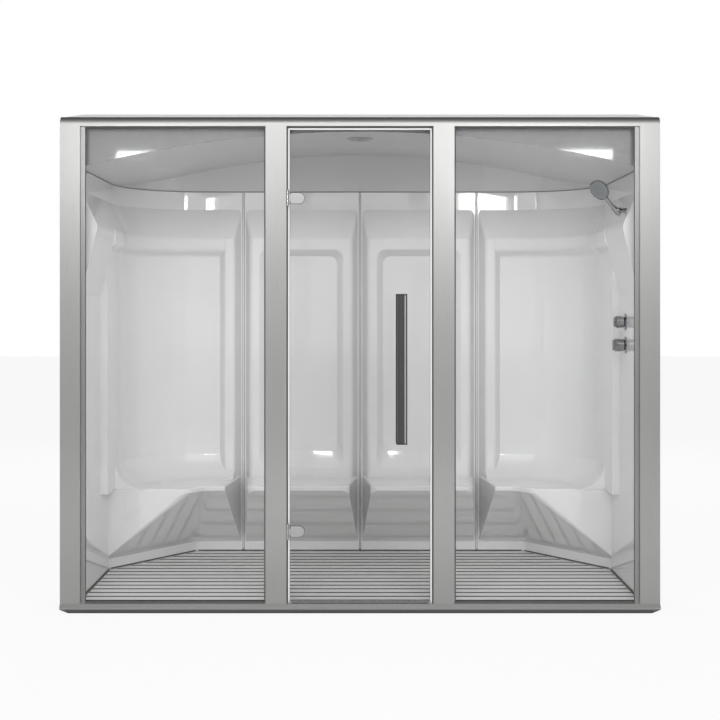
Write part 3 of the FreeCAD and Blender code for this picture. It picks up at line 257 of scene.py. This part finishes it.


# handle: a painted highlight near the left edge, a bumped glossier line with a painted highlight tone, and
# both ends darker
handleSet = {
    "grain": (300, 300, 6), "grainDetail": 3, "dark": (0.035, 0.035, 0.037), "light": (0.06, 0.06, 0.062),
    "rim": (0.162, 0.166, 0.0008), "rimHighlight": (0.2, 0.2, 0.205), "rimShare": 0.5,
    "line": (0.1944, 0.1994, 0.0006), "lineHighlight": (0.45, 0.45, 0.455),
    "ends": (0.7525, 1.3985, 0.0008), "endTone": (0.02, 0.02, 0.02),
    "metallic": 0.35, "rough": 0.4, "lineGloss": 0.15, "spread": 0.08, "bump": 0.5, "depth": 0.0006,
}


def handleMetal(name):
    finish = newFinish(name)
    grain = finish.noise(1, handleSet["grain"], handleSet["grainDetail"])
    across = finish.axis("X")
    # painted highlight along the left bevel
    rim = finish.band(across, *handleSet["rim"])
    # bumped, glossier line whose light tone is a painted highlight
    line = finish.band(across, *handleSet["line"])
    ends = finish.band(finish.axis("Z"), *handleSet["ends"])
    colour = finish.shade(grain, handleSet["dark"], handleSet["light"])
    colour = finish.shade(rim * handleSet["rimShare"], colour, handleSet["rimHighlight"])
    colour = finish.shade(line, colour, handleSet["lineHighlight"])
    colour = finish.shade(ends, handleSet["endTone"], colour)
    return finish.surface(
        Base_Color=colour, Metallic=handleSet["metallic"],
        Roughness=handleSet["rough"] - line * handleSet["lineGloss"] + grain * handleSet["spread"],
        Normal=finish.bump(line, handleSet["bump"], handleSet["depth"]),
    )


# the panel below the lip is painted dark grey as painted shade; the lip above keeps the panel's light tone
roofSet = {
    "grain": 40, "grainDetail": 4, "lip": (2.178, 2.182), "dark": (0.25, 0.25, 0.255),
    "light": (0.3, 0.3, 0.305), "lipTone": (0.72, 0.72, 0.715), "rough": 0.03, "spread": 0.03,
    "wave": 4, "bump": 0.08, "depth": 0.002,
}


def roofPanel(name):
    finish = newFinish(name)
    grain = finish.noise(roofSet["grain"], even, roofSet["grainDetail"])
    wave = finish.noise(roofSet["wave"], even, 1)
    lip = finish.rise(finish.axis("Z"), *roofSet["lip"])
    panel = finish.shade(grain, roofSet["dark"], roofSet["light"])
    return finish.surface(
        Base_Color=finish.shade(lip, panel, roofSet["lipTone"]),
        Roughness=roofSet["rough"] + grain * roofSet["spread"],
        Normal=finish.bump(wave, roofSet["bump"], roofSet["depth"]),
    )


grainSet = {"detail": 4, "depth": 0.0005}


def plainStuff(slot, dark, light, scale, rough, metallic=0.0, bump=0.1):
    first, *rest = slot.split("_")
    finish = newFinish(first + "".join(word.capitalize() for word in rest))
    grain = finish.noise(scale, even, grainSet["detail"])
    return finish.surface(
        Base_Color=finish.shade(grain, dark, light), Metallic=metallic,
        Roughness=rough[0] + grain * (rough[1] - rough[0]),
        Normal=finish.bump(grain, bump, grainSet["depth"]),
    )


# painted shade along the sill's foot: colour darkened below these heights
sillFootShade = {"low": 0.019, "high": 0.029, "shade": 0.32}
plainSet = {
    # the tray is kept darker than its own grey, as painted shade in the gaps between the slats
    "tray_plastic": {"dark": tone(0.28), "light": tone(0.34), "scale": 90, "rough": (0.5, 0.65)},
    "bearer_plastic": {"dark": tone(0.06), "light": tone(0.1), "scale": 120, "rough": (0.5, 0.7)},
    "white_seal": {
        "dark": (0.74, 0.74, 0.73), "light": (0.84, 0.84, 0.83), "scale": 150, "rough": (0.4, 0.55),
    },
    "clear_sweep": {
        "dark": (0.12, 0.125, 0.125), "light": (0.17, 0.175, 0.175), "scale": 150, "rough": (0.2, 0.35),
    },
    "grey_gasket": {"dark": tone(0.08), "light": tone(0.12), "scale": 200, "rough": (0.5, 0.7)},
    "seam_gasket": {"dark": tone(0.2), "light": tone(0.28), "scale": 200, "rough": (0.5, 0.7)},
    "hinge_chrome": {
        "dark": (0.42, 0.42, 0.425), "light": (0.5, 0.5, 0.505), "scale": 300, "rough": (0.14, 0.24),
        "metallic": 1.0, "bump": 0.03,
    },
    "pin_steel": {
        "dark": tone(0.2), "light": tone(0.28), "scale": 300, "rough": (0.25, 0.4), "metallic": 1.0,
    },
    "standoff_steel": {
        "dark": tone(0.5), "light": tone(0.6), "scale": 300, "rough": (0.25, 0.4), "metallic": 1.0,
    },
    "shower_chrome": {
        "dark": (0.34, 0.34, 0.35), "light": (0.44, 0.44, 0.45), "scale": 60, "rough": (0.03, 0.07),
        "metallic": 1.0, "bump": 0.02,
    },
    "spray_plastic": {
        "dark": (0.2, 0.215, 0.22), "light": (0.3, 0.315, 0.32), "scale": 200, "rough": (0.35, 0.5),
    },
    "valve_brass": {
        "dark": (0.5, 0.37, 0.15), "light": (0.62, 0.48, 0.22), "scale": 120, "rough": (0.3, 0.5),
        "metallic": 1.0,
    },
    "drain_steel": {
        "dark": tone(0.5), "light": tone(0.6), "scale": 200, "rough": (0.3, 0.45), "metallic": 1.0,
    },
    "clip_steel": {
        "dark": (0.35, 0.35, 0.36), "light": (0.45, 0.45, 0.46), "scale": 200, "rough": (0.35, 0.5),
        "metallic": 1.0,
    },
    "lamp_trim": {"dark": tone(0.4), "light": tone(0.46), "scale": 200, "rough": (0.3, 0.4)},
    "lamp_lens": {
        "dark": (0.3, 0.3, 0.295), "light": (0.36, 0.36, 0.355), "scale": 60, "rough": (0.2, 0.3),
    },
}
finishes = {
    "satin_aluminium": satinAluminium("postAluminium", "Z", dark=0.4, light=0.48),
    "header_aluminium": satinAluminium("headerAluminium", "X", dark=0.4, light=0.48),
    "sill_aluminium": satinAluminium("sillAluminium", "X", dark=0.56, light=0.64, foot=sillFootShade),
    "channel_aluminium": satinAluminium("channelAluminium", "Z", dark=0.3, light=0.38),
    "clear_glass": thinGlass("clearGlass", tint=0.985),
    "door_glass": thinGlass("doorGlass", tint=0.935),
    "white_acrylic": glossAcrylic(
        "whiteAcrylic", dark=(0.75, 0.75, 0.753), light=(0.81, 0.81, 0.812), rough=0.03, coat=0.45
    ),
    # the ceiling's white acrylic is given a darker grey as painted shade
    "ceiling_shaded_acrylic": glossAcrylic(
        "ceilingShadedAcrylic", dark=(0.6, 0.6, 0.604), light=(0.66, 0.66, 0.662), rough=0.3, coat=0.0
    ),
    "roof_panel": roofPanel("roofPanel"),
    "slat_plastic": slatPlastic("slatPlastic"),
    "handle_grey": handleMetal("handleGrey"),
}
for slot, settings in plainSet.items():
    finishes[slot] = plainStuff(slot, **settings)
ownFinish = {
    "header_rail": "header_aluminium",
    "sill_rail": "sill_aluminium",
    "left_wall_channel": "channel_aluminium",
    "right_wall_channel": "channel_aluminium",
    "ceiling_shell": "ceiling_shaded_acrylic",
    "door_glass": "door_glass",
}
for entry in frame["record"]["subparts"]:
    mesh = nodes[entry["node"]].data
    mesh.materials.clear()
    mesh.materials.append(finishes[ownFinish.get(entry["node"], entry["material_slot"])])
print("finishes set:", len(finishes))


# helpers for the pieces that the solids leave out
near = 0.0001
smoothAngle = math.radians(40)
flip = Matrix.Scale(-1, 4, (1, 0, 0))


def deselect():
    bpy.ops.object.select_all(action="DESELECT")


def only(piece):
    deselect()
    piece.select_set(True)
    bpy.context.view_layer.objects.active = piece


def named(name):
    piece = bpy.context.object
    piece.name = name
    piece.data.name = name
    return piece


def scaled(piece, size):
    piece.scale = size
    only(piece)
    bpy.ops.object.transform_apply(location=True, rotation=True, scale=True)
    return piece


def block(name, low, high):
    deselect()
    bpy.ops.mesh.primitive_cube_add(size=1, location=[(a + b) / 2 for a, b in zip(low, high)])
    return scaled(named(name), [b - a for a, b in zip(low, high)])


def plate(name, place, size, turn=(0, 0, 0)):
    deselect()
    bpy.ops.mesh.primitive_plane_add(size=1, location=place, rotation=turn)
    return scaled(named(name), (*size, 1))


def pick(piece, kind, test):
    bpy.ops.object.mode_set(mode="EDIT")
    bpy.ops.mesh.select_mode(type=kind)
    bpy.ops.mesh.select_all(action="DESELECT")
    bpy.ops.object.mode_set(mode="OBJECT")
    mesh = piece.data
    if kind == "VERT":
        for vertex in mesh.vertices:
            vertex.select = test(vertex.co)
    else:
        for edge in mesh.edges:
            edge.select = test(*(mesh.vertices[index].co for index in edge.vertices))
    bpy.ops.object.mode_set(mode="EDIT")


def bevelled(piece, width, steps, test):
    pick(piece, "EDGE", test)
    bpy.ops.mesh.bevel(offset=width, segments=steps, affect="EDGES")
    bpy.ops.object.mode_set(mode="OBJECT")


def frontal(level):
    return lambda a, b: max(a.y, b.y) < level + near


def framed(piece, test, corner, steps, rim):
    pick(piece, "VERT", test)
    bpy.ops.mesh.bevel(offset=corner, segments=steps, affect="VERTICES")
    bpy.ops.mesh.select_all(action="SELECT")
    bpy.ops.mesh.inset(thickness=rim)
    bpy.ops.mesh.delete(type="FACE")
    bpy.ops.object.mode_set(mode="OBJECT")


def thickened(piece, thickness):
    solid = piece.modifiers.new("thickness", "SOLIDIFY")
    solid.thickness = thickness
    solid.offset = 1
    bpy.ops.object.modifier_apply(modifier=solid.name)


def twin(piece, name, change):
    copy = piece.copy()
    copy.data = piece.data.copy()
    copy.name = name
    copy.data.name = name
    scene.collection.objects.link(copy)
    copy.data.transform(change)
    if change.determinant() < 0:
        copy.data.flip_normals()
    return copy


def joined(pieces, name):
    deselect()
    for piece in pieces:
        piece.select_set(True)
    bpy.context.view_layer.objects.active = pieces[0]
    bpy.ops.object.join()
    return named(name)


def dressed(piece, body, slot, finish=None):
    piece.data.materials.clear()
    piece.data.materials.append(finishes[finish or slot])
    only(piece)
    bpy.ops.object.shade_smooth_by_angle(angle=smoothAngle)
    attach(piece, body)


# strip, bead and end plug on each seam of the rear wall
seamSet = {
    "places": {"left": -0.622, "centre": 0, "right": 0.622}, "wall": 0.59, "foot": 0.022, "top": 1.9615,
    "strip": 0.0052, "thick": 0.0014, "stripRound": 0.0006, "stripSteps": 2,
    "bead": 0.0026, "reach": 0.0062, "beadRound": 0.0022, "beadSteps": 4,
    "plug": 0.0055, "plugHeight": 0.0545, "plugSides": 20, "plugRings": 12, "plugFlat": (1, 0.7, 1),
}


def seamPieces():
    wall = seamSet["wall"]
    foot = seamSet["foot"]
    top = seamSet["top"]
    front = wall - seamSet["thick"]
    nose = wall - seamSet["reach"]
    strip = block("seamStrip", (-seamSet["strip"], front, foot), (seamSet["strip"], wall, top))
    bevelled(strip, seamSet["stripRound"], seamSet["stripSteps"], frontal(front))
    bead = block("seamBead", (-seamSet["bead"], nose, foot), (seamSet["bead"], front, top))
    bevelled(
        bead, seamSet["beadRound"], seamSet["beadSteps"],
        lambda a, b: frontal(nose)(a, b) and abs(a.z - b.z) > near,
    )
    deselect()
    bpy.ops.mesh.primitive_uv_sphere_add(
        segments=seamSet["plugSides"], ring_count=seamSet["plugRings"], radius=seamSet["plug"],
        location=(0, nose, seamSet["plugHeight"]),
    )
    plug = scaled(named("seamPlug"), seamSet["plugFlat"])
    pick(plug, "VERT", lambda point: True)
    bpy.ops.mesh.bisect(plane_co=(0, front, 0), plane_no=(0, 1, 0), use_fill=True, clear_outer=True)
    bpy.ops.object.mode_set(mode="OBJECT")
    for side, x in seamSet["places"].items():
        move = Matrix.Translation((x, 0, 0))
        dressed(twin(strip, side + "SeamStrip", move), "cabin", "grey_gasket", "seam_gasket")
        dressed(twin(bead, side + "SeamBead", move), "cabin", "white_seal")
        dressed(twin(plug, side + "SeamPlug", move), "cabin", "grey_gasket")
    for piece in (strip, bead, plug):
        bpy.data.objects.remove(piece)


# dark line where the walls meet the ceiling, open at the front
ceilingBand = {
    "half": 1.244, "front": -0.553, "rear": 0.59, "corner": 0.42, "steps": 28, "inset": 0.003,
    "low": 1.962, "high": 1.967,
}


def ceilingLine():
    front = ceilingBand["front"]
    rear = ceilingBand["rear"]
    inset = ceilingBand["inset"]
    piece = plate(
        "ceilingLine", (0, (front + rear) / 2, ceilingBand["low"]), (ceilingBand["half"] * 2, rear - front)
    )
    framed(piece, lambda point: point.y > 0, ceilingBand["corner"], ceilingBand["steps"], inset)
    pick(piece, "VERT", lambda point: point.y < front + inset + near)
    bpy.ops.mesh.delete(type="FACE")
    bpy.ops.object.mode_set(mode="OBJECT")
    thickened(piece, ceilingBand["high"] - ceilingBand["low"])
    dressed(piece, "cabin", "grey_gasket", "seam_gasket")


# dark lines where the walls meet the slatted floor
floorLineSet = {
    "height": (0.0485, 0.054), "thick": 0.0035, "round": 0.001, "steps": 2,
    "rear": ((-0.868, 0.59), (0.868, 0.59)), "slant": ((-1.238, 0.118), (-0.876, 0.586)),
    "side": ((-1.244, -0.55), (-1.244, 0.104)),
}


def lineBar(name, start, stop):
    thick = floorLineSet["thick"]
    low, high = floorLineSet["height"]
    run = Vector(stop) - Vector(start)
    bar = block(name, (0, -thick, low), (run.length, 0, high))
    bevelled(
        bar, floorLineSet["round"], floorLineSet["steps"],
        lambda a, b: frontal(-thick)(a, b) and abs(a.x - b.x) > near,
    )
    turn = Matrix.Rotation(math.atan2(run.y, run.x), 4, "Z")
    bar.data.transform(Matrix.Translation((*start, 0)) @ turn)
    return bar


def floorLines():
    dressed(lineBar("rearFloorLine", *floorLineSet["rear"]), "cabin", "grey_gasket")
    for part in ("slant", "side"):
        left = lineBar(part + "LeftFloorLine", *floorLineSet[part])
        dressed(left, "cabin", "grey_gasket")
        dressed(twin(left, part + "RightFloorLine", flip), "cabin", "grey_gasket")


# pale edge strips and dark lines on the door, and dark strips in the gaps round it, which are painted shade
doorEdge = {
    "half": 0.315, "foot": 0.0565, "top": 2.131, "leg": 0.0065, "out": 0.001, "over": 0.0007,
    "outer": -0.61, "inner": -0.6025, "line": 0.0016, "round": 0.0003, "steps": 2,
    "gapOuter": -0.6075, "gapInner": -0.602, "post": 0.3218, "gapStart": 0.3161, "gapFoot": 0.0485,
    "gapTop": 2.1322, "header": 2.1398, "gapRound": 0.0015, "gapSteps": 3,
}


def doorEdges():
    half = doorEdge["half"]
    outer = doorEdge["outer"]
    skin = outer - doorEdge["out"]
    leg = half - doorEdge["leg"]
    lap = half + doorEdge["over"]
    top = doorEdge["top"]
    lintel = top - doorEdge["leg"]
    foot = doorEdge["foot"]
    face = block("edgeFace", (leg, skin, foot), (lap, outer, top))
    side = block("edgeSide", (half, outer, foot), (lap, doorEdge["inner"], top))
    strip = joined([face, side], "rightDoorEdge")
    bevelled(strip, doorEdge["round"], doorEdge["steps"], frontal(skin))
    dressed(strip, "door", "white_seal")
    dressed(twin(strip, "leftDoorEdge", flip), "door", "white_seal")
    crest = block("topDoorEdge", (-leg, skin, lintel), (leg, outer, top + doorEdge["over"]))
    bevelled(crest, doorEdge["round"], doorEdge["steps"], frontal(skin))
    dressed(crest, "door", "white_seal")
    line = block("rightDoorLine", (leg - doorEdge["line"], skin, foot), (leg, outer, lintel))
    bevelled(line, doorEdge["round"], doorEdge["steps"], frontal(skin))
    dressed(line, "door", "grey_gasket")
    dressed(twin(line, "leftDoorLine", flip), "door", "grey_gasket")


# dark strips fill the gaps beside and above the door as painted shade
def gapShadeStrips():
    outer = doorEdge["gapOuter"]
    inner = doorEdge["gapInner"]
    post = doorEdge["post"]
    top = doorEdge["gapTop"]
    side = block("latchGapShade", (doorEdge["gapStart"], outer, doorEdge["gapFoot"]), (post, inner, top))
    bevelled(side, doorEdge["gapRound"], doorEdge["gapSteps"], frontal(outer))
    dressed(side, "cabin", "grey_gasket")
    dressed(twin(side, "hingeGapShade", flip), "cabin", "grey_gasket")
    head = block("headGapShade", (-post, outer, top), (post, inner, doorEdge["header"]))
    bevelled(head, doorEdge["gapRound"], doorEdge["gapSteps"], frontal(outer))
    dressed(head, "cabin", "grey_gasket")


# dark rim of the pad under each hinge leaf
hingePad = {
    "left": -0.3062, "right": -0.2418, "half": 0.0257, "heights": {"lower": 0.363, "upper": 1.824},
    "corner": 0.995, "steps": 10, "rim": 0.0021, "glass": -0.61, "thick": 0.0012,
}


def hingePads():
    half = hingePad["half"]
    middle = (hingePad["left"] + hingePad["right"]) / 2
    size = (hingePad["right"] - hingePad["left"], half * 2)
    pad = plate("hingePad", (middle, hingePad["glass"], 0), size, (math.pi / 2, 0, 0))
    corner = half * hingePad["corner"]
    framed(pad, lambda point: point.x > middle, corner, hingePad["steps"], hingePad["rim"])
    thickened(pad, hingePad["thick"])
    for side, height in hingePad["heights"].items():
        dressed(twin(pad, side + "HingePad", Matrix.Translation((0, 0, height))), "door", "grey_gasket")
    bpy.data.objects.remove(pad)


# rings of soft nozzles on the face of the hand shower
spraySet = {
    "lean": 50, "tilt": 35, "radius": 0.0013, "depth": 0.0022, "sides": 12, "round": 0.0005, "steps": 2,
    "rings": ((0.0, 1), (0.009, 7), (0.017, 13), (0.025, 19)),
}


def sprayNozzles():
    lean = math.radians(spraySet["lean"])
    tilt = math.radians(spraySet["tilt"])
    under = Vector((-math.sin(lean), 0, -math.cos(lean)))
    axis = under * math.cos(tilt) + Vector((0, -math.sin(tilt), 0))
    corners = [vertex.co for vertex in nodes["spray_plate"].data.vertices]
    middle = sum(corners, Vector()) / len(corners)
    face = max(corner.dot(axis) for corner in corners)
    centre = middle + axis * (face - middle.dot(axis))
    turn = axis.to_track_quat("Z", "Y").to_matrix().to_4x4()
    deselect()
    bpy.ops.mesh.primitive_cylinder_add(
        vertices=spraySet["sides"], radius=spraySet["radius"], depth=spraySet["depth"]
    )
    nub = named("sprayNub")
    bevelled(nub, spraySet["round"], spraySet["steps"], lambda a, b: min(a.z, b.z) > 0)
    nubs = []
    for radius, count in spraySet["rings"]:
        for index in range(count):
            angle = math.tau * index / count
            spot = Matrix.Translation((radius * math.cos(angle), radius * math.sin(angle), 0))
            nubs.append(twin(nub, "sprayNub", Matrix.Translation(centre) @ turn @ spot))
    bpy.data.objects.remove(nub)
    dressed(joined(nubs, "sprayNozzles"), "shower", "spray_plastic", "grey_gasket")


# grip ribs round the two knobs
knobSet = {
    "flow": {"height": 1.278, "radius": 0.026, "ends": (1.1985, 1.2325)},
    "temperature": {"height": 1.17, "radius": 0.028, "ends": (1.1935, 1.2325)},
    "depth": -0.237, "count": 18, "half": 0.0016, "rise": 0.0013, "sunk": 0.0015,
    "round": 0.0011, "steps": 3,
}


def knobRibs():
    half = knobSet["half"]
    for side in ("flow", "temperature"):
        knob = knobSet[side]
        radius = knob["radius"]
        start, stop = knob["ends"]
        low = (start, -half, radius - knobSet["sunk"])
        rib = block(side + "Rib", low, (stop, half, radius + knobSet["rise"]))
        bevelled(rib, knobSet["round"], knobSet["steps"], lambda a, b: min(a.z, b.z) > radius)
        centre = Matrix.Translation((0, knobSet["depth"], knob["height"]))
        ribs = []
        for index in range(knobSet["count"]):
            turn = Matrix.Rotation(math.tau * index / knobSet["count"], 4, "X")
            ribs.append(twin(rib, side + "Rib", centre @ turn))
        bpy.data.objects.remove(rib)
        dressed(joined(ribs, side + "KnobRibs"), side + "_control", "shower_chrome")


seamPieces()
ceilingLine()
floorLines()
doorEdges()
gapShadeStrips()
hingePads()
sprayNozzles()
knobRibs()


# pale floor, white surroundings and soft lamps
white = (1, 1, 1, 1)
floorSet = {
    "size": 60, "colour": (0.9, 0.9, 0.9, 1), "glow": {"Camera": 0.9, "Transmission": 0.9, "Glossy": 0.04},
}


def paleFloor():
    deselect()
    bpy.ops.mesh.primitive_plane_add(size=floorSet["size"], location=(0, 0, 0))
    floor = named("paleFloor")
    finish = newFinish("paleFloor")
    matte = finish.add("BsdfDiffuse", None, {"Color": floorSet["colour"]})
    glow = finish.add("Emission", None, {"Color": white, "Strength": 1})
    seen = sum(finish.ray(name) * share for name, share in floorSet["glow"].items())
    floor.data.materials.append(finish.mixed(seen, matte, glow))


skySet = {
    "level": 0.4, "stops": ((0, 0.1), (0.5, 0.16), (0.72, 0.42), (0.9, 0.8), (0.97, 1.0), (1, 0.95)),
}


def whiteWorld():
    sky = Finish(bpy.data.worlds.new("whiteWorld"))
    scene.world = sky.holder
    level = skySet["level"]
    ahead = 0.5 - sky.axis("Y", "Generated") * 0.5
    mirrored = sky.add("ValToRGB", {"stops": skySet["stops"]}, {0: ahead})
    seen = sky.ray("Camera") + sky.ray("Transmission")
    strength = level + seen * (1 - level) + sky.ray("Glossy") * (mirrored - level)
    sky.close("World", sky.add("Background", None, {"Color": white, "Strength": strength}))


lampSet = {
    "frontSoftbox": {
        "place": (0, -5.0, 3.6), "aim": (0, 0.3, 0.9), "size": (5.0, 2.6), "power": 46, "shine": True,
    },
    "topFill": {
        "place": (0, -5.0, 3.6), "aim": (0, 0.3, 0.9), "size": (5.0, 2.6), "power": 82, "shine": False,
    },
    "frontFill": {
        "place": (0, -5.2, 1.4), "aim": (0, 0.4, 1.0), "size": (4.0, 1.6), "power": 45, "shine": False,
    },
    "kneeFill": {
        "place": (0, -4.4, 0.35), "aim": (0, 0.4, 0.3), "size": (4.6, 0.6), "power": 26, "shine": False,
    },
    "rearFill": {
        "place": (0, 5.6, 3.2), "aim": (0, 0.5, 0.9), "size": (5.0, 2.6), "power": 110, "shine": False,
    },
    "roomFill": {
        "place": (0, -0.1, 1.93), "aim": (0, 0, 0), "size": (1.6, 0.6), "power": 3.4, "shine": False,
    },
    "midGlint": {
        "place": (-0.4, -4.4, 5.57), "aim": (-0.2, 0.5, 0.53), "size": (0.24, 0.02), "power": 0.8,
        "shine": True,
    },
    "doorGlint": {
        "place": (0.33, -4.4, 5.57), "aim": (0.2, 0.5, 0.53), "size": (0.16, 0.02), "power": 0.5,
        "shine": True,
    },
    "leftPatch": {
        "place": (-1.77, -5, 2.55), "aim": (-1, -0.56, 2.01), "size": (0.32, 0.08), "power": 2.6,
        "shine": True,
    },
    "rightPatch": {
        "place": (1.8, -5, 2.57), "aim": (1, -0.56, 2.02), "size": (0.4, 0.07), "power": 2.6, "shine": True,
    },
    "leftWindow": {
        "place": (-1.56, -5, 2.36), "aim": (-0.5, 0.5, 1.9), "size": (0.26, 0.2), "power": 2.8,
        "shine": True,
    },
    "rightWindow": {
        "place": (1.2, -5, 2.38), "aim": (0.5, 0.5, 1.9), "size": (0.46, 0.2), "power": 4.8, "shine": True,
    },
}


def softLamps():
    for name, lamp in lampSet.items():
        data = bpy.data.lights.new(name, "AREA")
        data.shape = "RECTANGLE"
        data.size, data.size_y = lamp["size"]
        data.energy = lamp["power"]
        item = bpy.data.objects.new(name, data)
        item.location = lamp["place"]
        towards = Vector(lamp["aim"]) - Vector(lamp["place"])
        item.rotation_euler = towards.to_track_quat("-Z", "Y").to_euler()
        scene.collection.objects.link(item)
        item.visible_camera = False
        item.visible_glossy = lamp["shine"]


paleFloor()
whiteWorld()
softLamps()
print("light and floor set")
